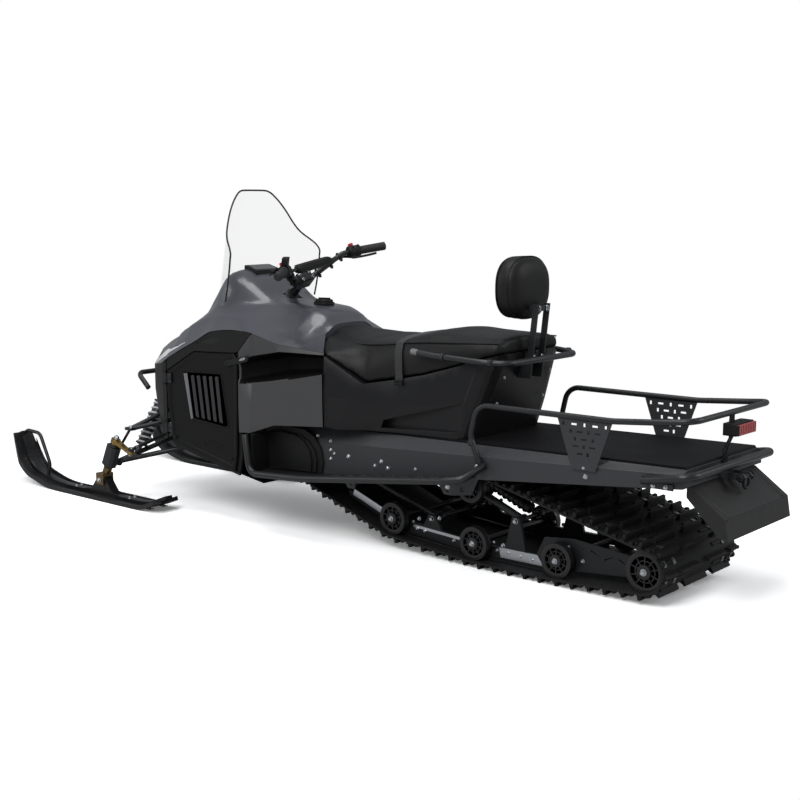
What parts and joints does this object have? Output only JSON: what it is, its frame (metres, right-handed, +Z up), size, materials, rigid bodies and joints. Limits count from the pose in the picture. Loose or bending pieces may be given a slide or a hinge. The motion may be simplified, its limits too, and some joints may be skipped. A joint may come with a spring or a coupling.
{
  "type": "utility snowmobile",
  "caption": "Wide-track utility snowmobile with skis, clear windshield, bench seat with backrest, cargo deck and tube rack.",
  "frame": {"origin": "on the ground under the centre of the whole machine's bounding box", "axes": "+X forward, +Y to the rider's left, +Z up"},
  "size_m": [3.5074, 0.922, 1.335],
  "materials": {
    "track_rubber": "matte",
    "wheel_plastic": "matte",
    "axle_steel": "satin",
    "rail_alloy": "satin",
    "black_steel": "satin",
    "charcoal_steel": "satin",
    "engine_metal": "matte",
    "hood_paint": "gloss",
    "black_plastic": "matte",
    "lamp_clear": "gloss",
    "seat_vinyl": "satin",
    "strap_web": "matte",
    "lens_red": "gloss",
    "zinc_steel": "satin",
    "clear_sheet": "gloss",
    "edge_rubber": "matte",
    "flap_rubber": "matte",
    "hitch_steel": "satin"
  },
  "bodies": {
    "chassis": {"track": "track_rubber", "bogie_wheels": "wheel_plastic", "rear_idler": "wheel_plastic", "top_roller": "wheel_plastic", "drive_axle": "axle_steel", "skid_rails": "rail_alloy", "rear_rails": "black_steel", "swing_arms": "black_steel", "skid_shocks": "black_steel", "tunnel": "charcoal_steel", "cargo_deck": "charcoal_steel", "running_boards": "black_steel", "toe_boxes": "black_plastic", "belly_pan": "black_plastic", "front_frame": "charcoal_steel", "engine": "engine_metal", "hood": "hood_paint", "nose_fascia": "black_plastic", "headlights": "lamp_clear", "side_panels": "black_plastic", "leg_shields": "black_plastic", "seat_base": "black_plastic", "seat": "seat_vinyl", "seat_strap": "strap_web", "grab_rail": "black_steel", "backrest_post": "black_steel", "backrest_pad": "seat_vinyl", "cargo_rack": "black_steel", "rack_plates": "charcoal_steel", "tail_lamp": "black_plastic", "tail_lens": "lens_red", "rear_bumper": "black_steel", "tow_hitch": "hitch_steel", "snow_flap": "flap_rubber", "front_bumper": "black_steel", "knuckles": "charcoal_steel", "suspension_arms": "black_steel", "front_shocks": "black_steel", "windshield": "clear_sheet", "windshield_edge": "edge_rubber", "instrument_panel": "black_plastic", "fuel_cap": "black_plastic"},
    "handlebar": {"handlebar": "black_steel", "grips": "edge_rubber", "bar_controls": "black_plastic"},
    "ski_left": {"ski_left": "black_plastic", "spindle_left": "zinc_steel", "steering_arm_left": "zinc_steel"},
    "ski_right": {"ski_right": "black_plastic", "spindle_right": "zinc_steel", "steering_arm_right": "zinc_steel"},
    "tie_rod_left": {"tie_rod_left": "black_steel"},
    "tie_rod_right": {"tie_rod_right": "black_steel"},
    "side_door_left": {"side_door_left": "black_plastic"},
    "side_door_right": {"side_door_right": "black_plastic"}
  },
  "joints": [
    {"name": "handlebar_turn", "type": "hinge", "parent": "chassis", "child": "handlebar", "pos_m": [0.277, 0, 0.97], "axis": [-0.7071, 0, 0.7071], "range_deg": [-34, 34]},
    {"name": "ski_left_steer", "type": "hinge", "parent": "chassis", "child": "ski_left", "pos_m": [1.129, 0.395, 0.082], "axis": [-0.3665, -0.0696, 0.9278], "range_deg": [-30, 30]},
    {"name": "ski_right_steer", "type": "hinge", "parent": "chassis", "child": "ski_right", "pos_m": [1.129, -0.395, 0.082], "axis": [-0.3665, 0.0696, 0.9278], "range_deg": [-30, 30]},
    {"name": "tie_rod_left_swing", "type": "hinge", "parent": "ski_left", "child": "tie_rod_left", "pos_m": [0.95892, 0.38178, 0.21861], "axis": [-0.3665, -0.0696, 0.9278], "range_deg": [-30, 30]},
    {"name": "tie_rod_right_swing", "type": "hinge", "parent": "ski_right", "child": "tie_rod_right", "pos_m": [0.95892, -0.38178, 0.21861], "axis": [-0.3665, 0.0696, 0.9278], "range_deg": [-30, 30]},
    {"name": "side_door_left_open", "type": "hinge", "parent": "chassis", "child": "side_door_left", "pos_m": [0.751, 0.348, 0.45], "axis": [0, 0, -1], "range_deg": [0, 70]},
    {"name": "side_door_right_open", "type": "hinge", "parent": "chassis", "child": "side_door_right", "pos_m": [0.751, -0.348, 0.45], "axis": [0, 0, 1], "range_deg": [0, 70]}
  ],
  "couplings": [
    {"joint": "ski_left_steer", "follows": "handlebar_turn", "ratio": 0.88},
    {"joint": "ski_right_steer", "follows": "handlebar_turn", "ratio": 0.88},
    {"joint": "tie_rod_left_swing", "follows": "handlebar_turn", "ratio": -0.88},
    {"joint": "tie_rod_right_swing", "follows": "handlebar_turn", "ratio": -0.88}
  ]
}
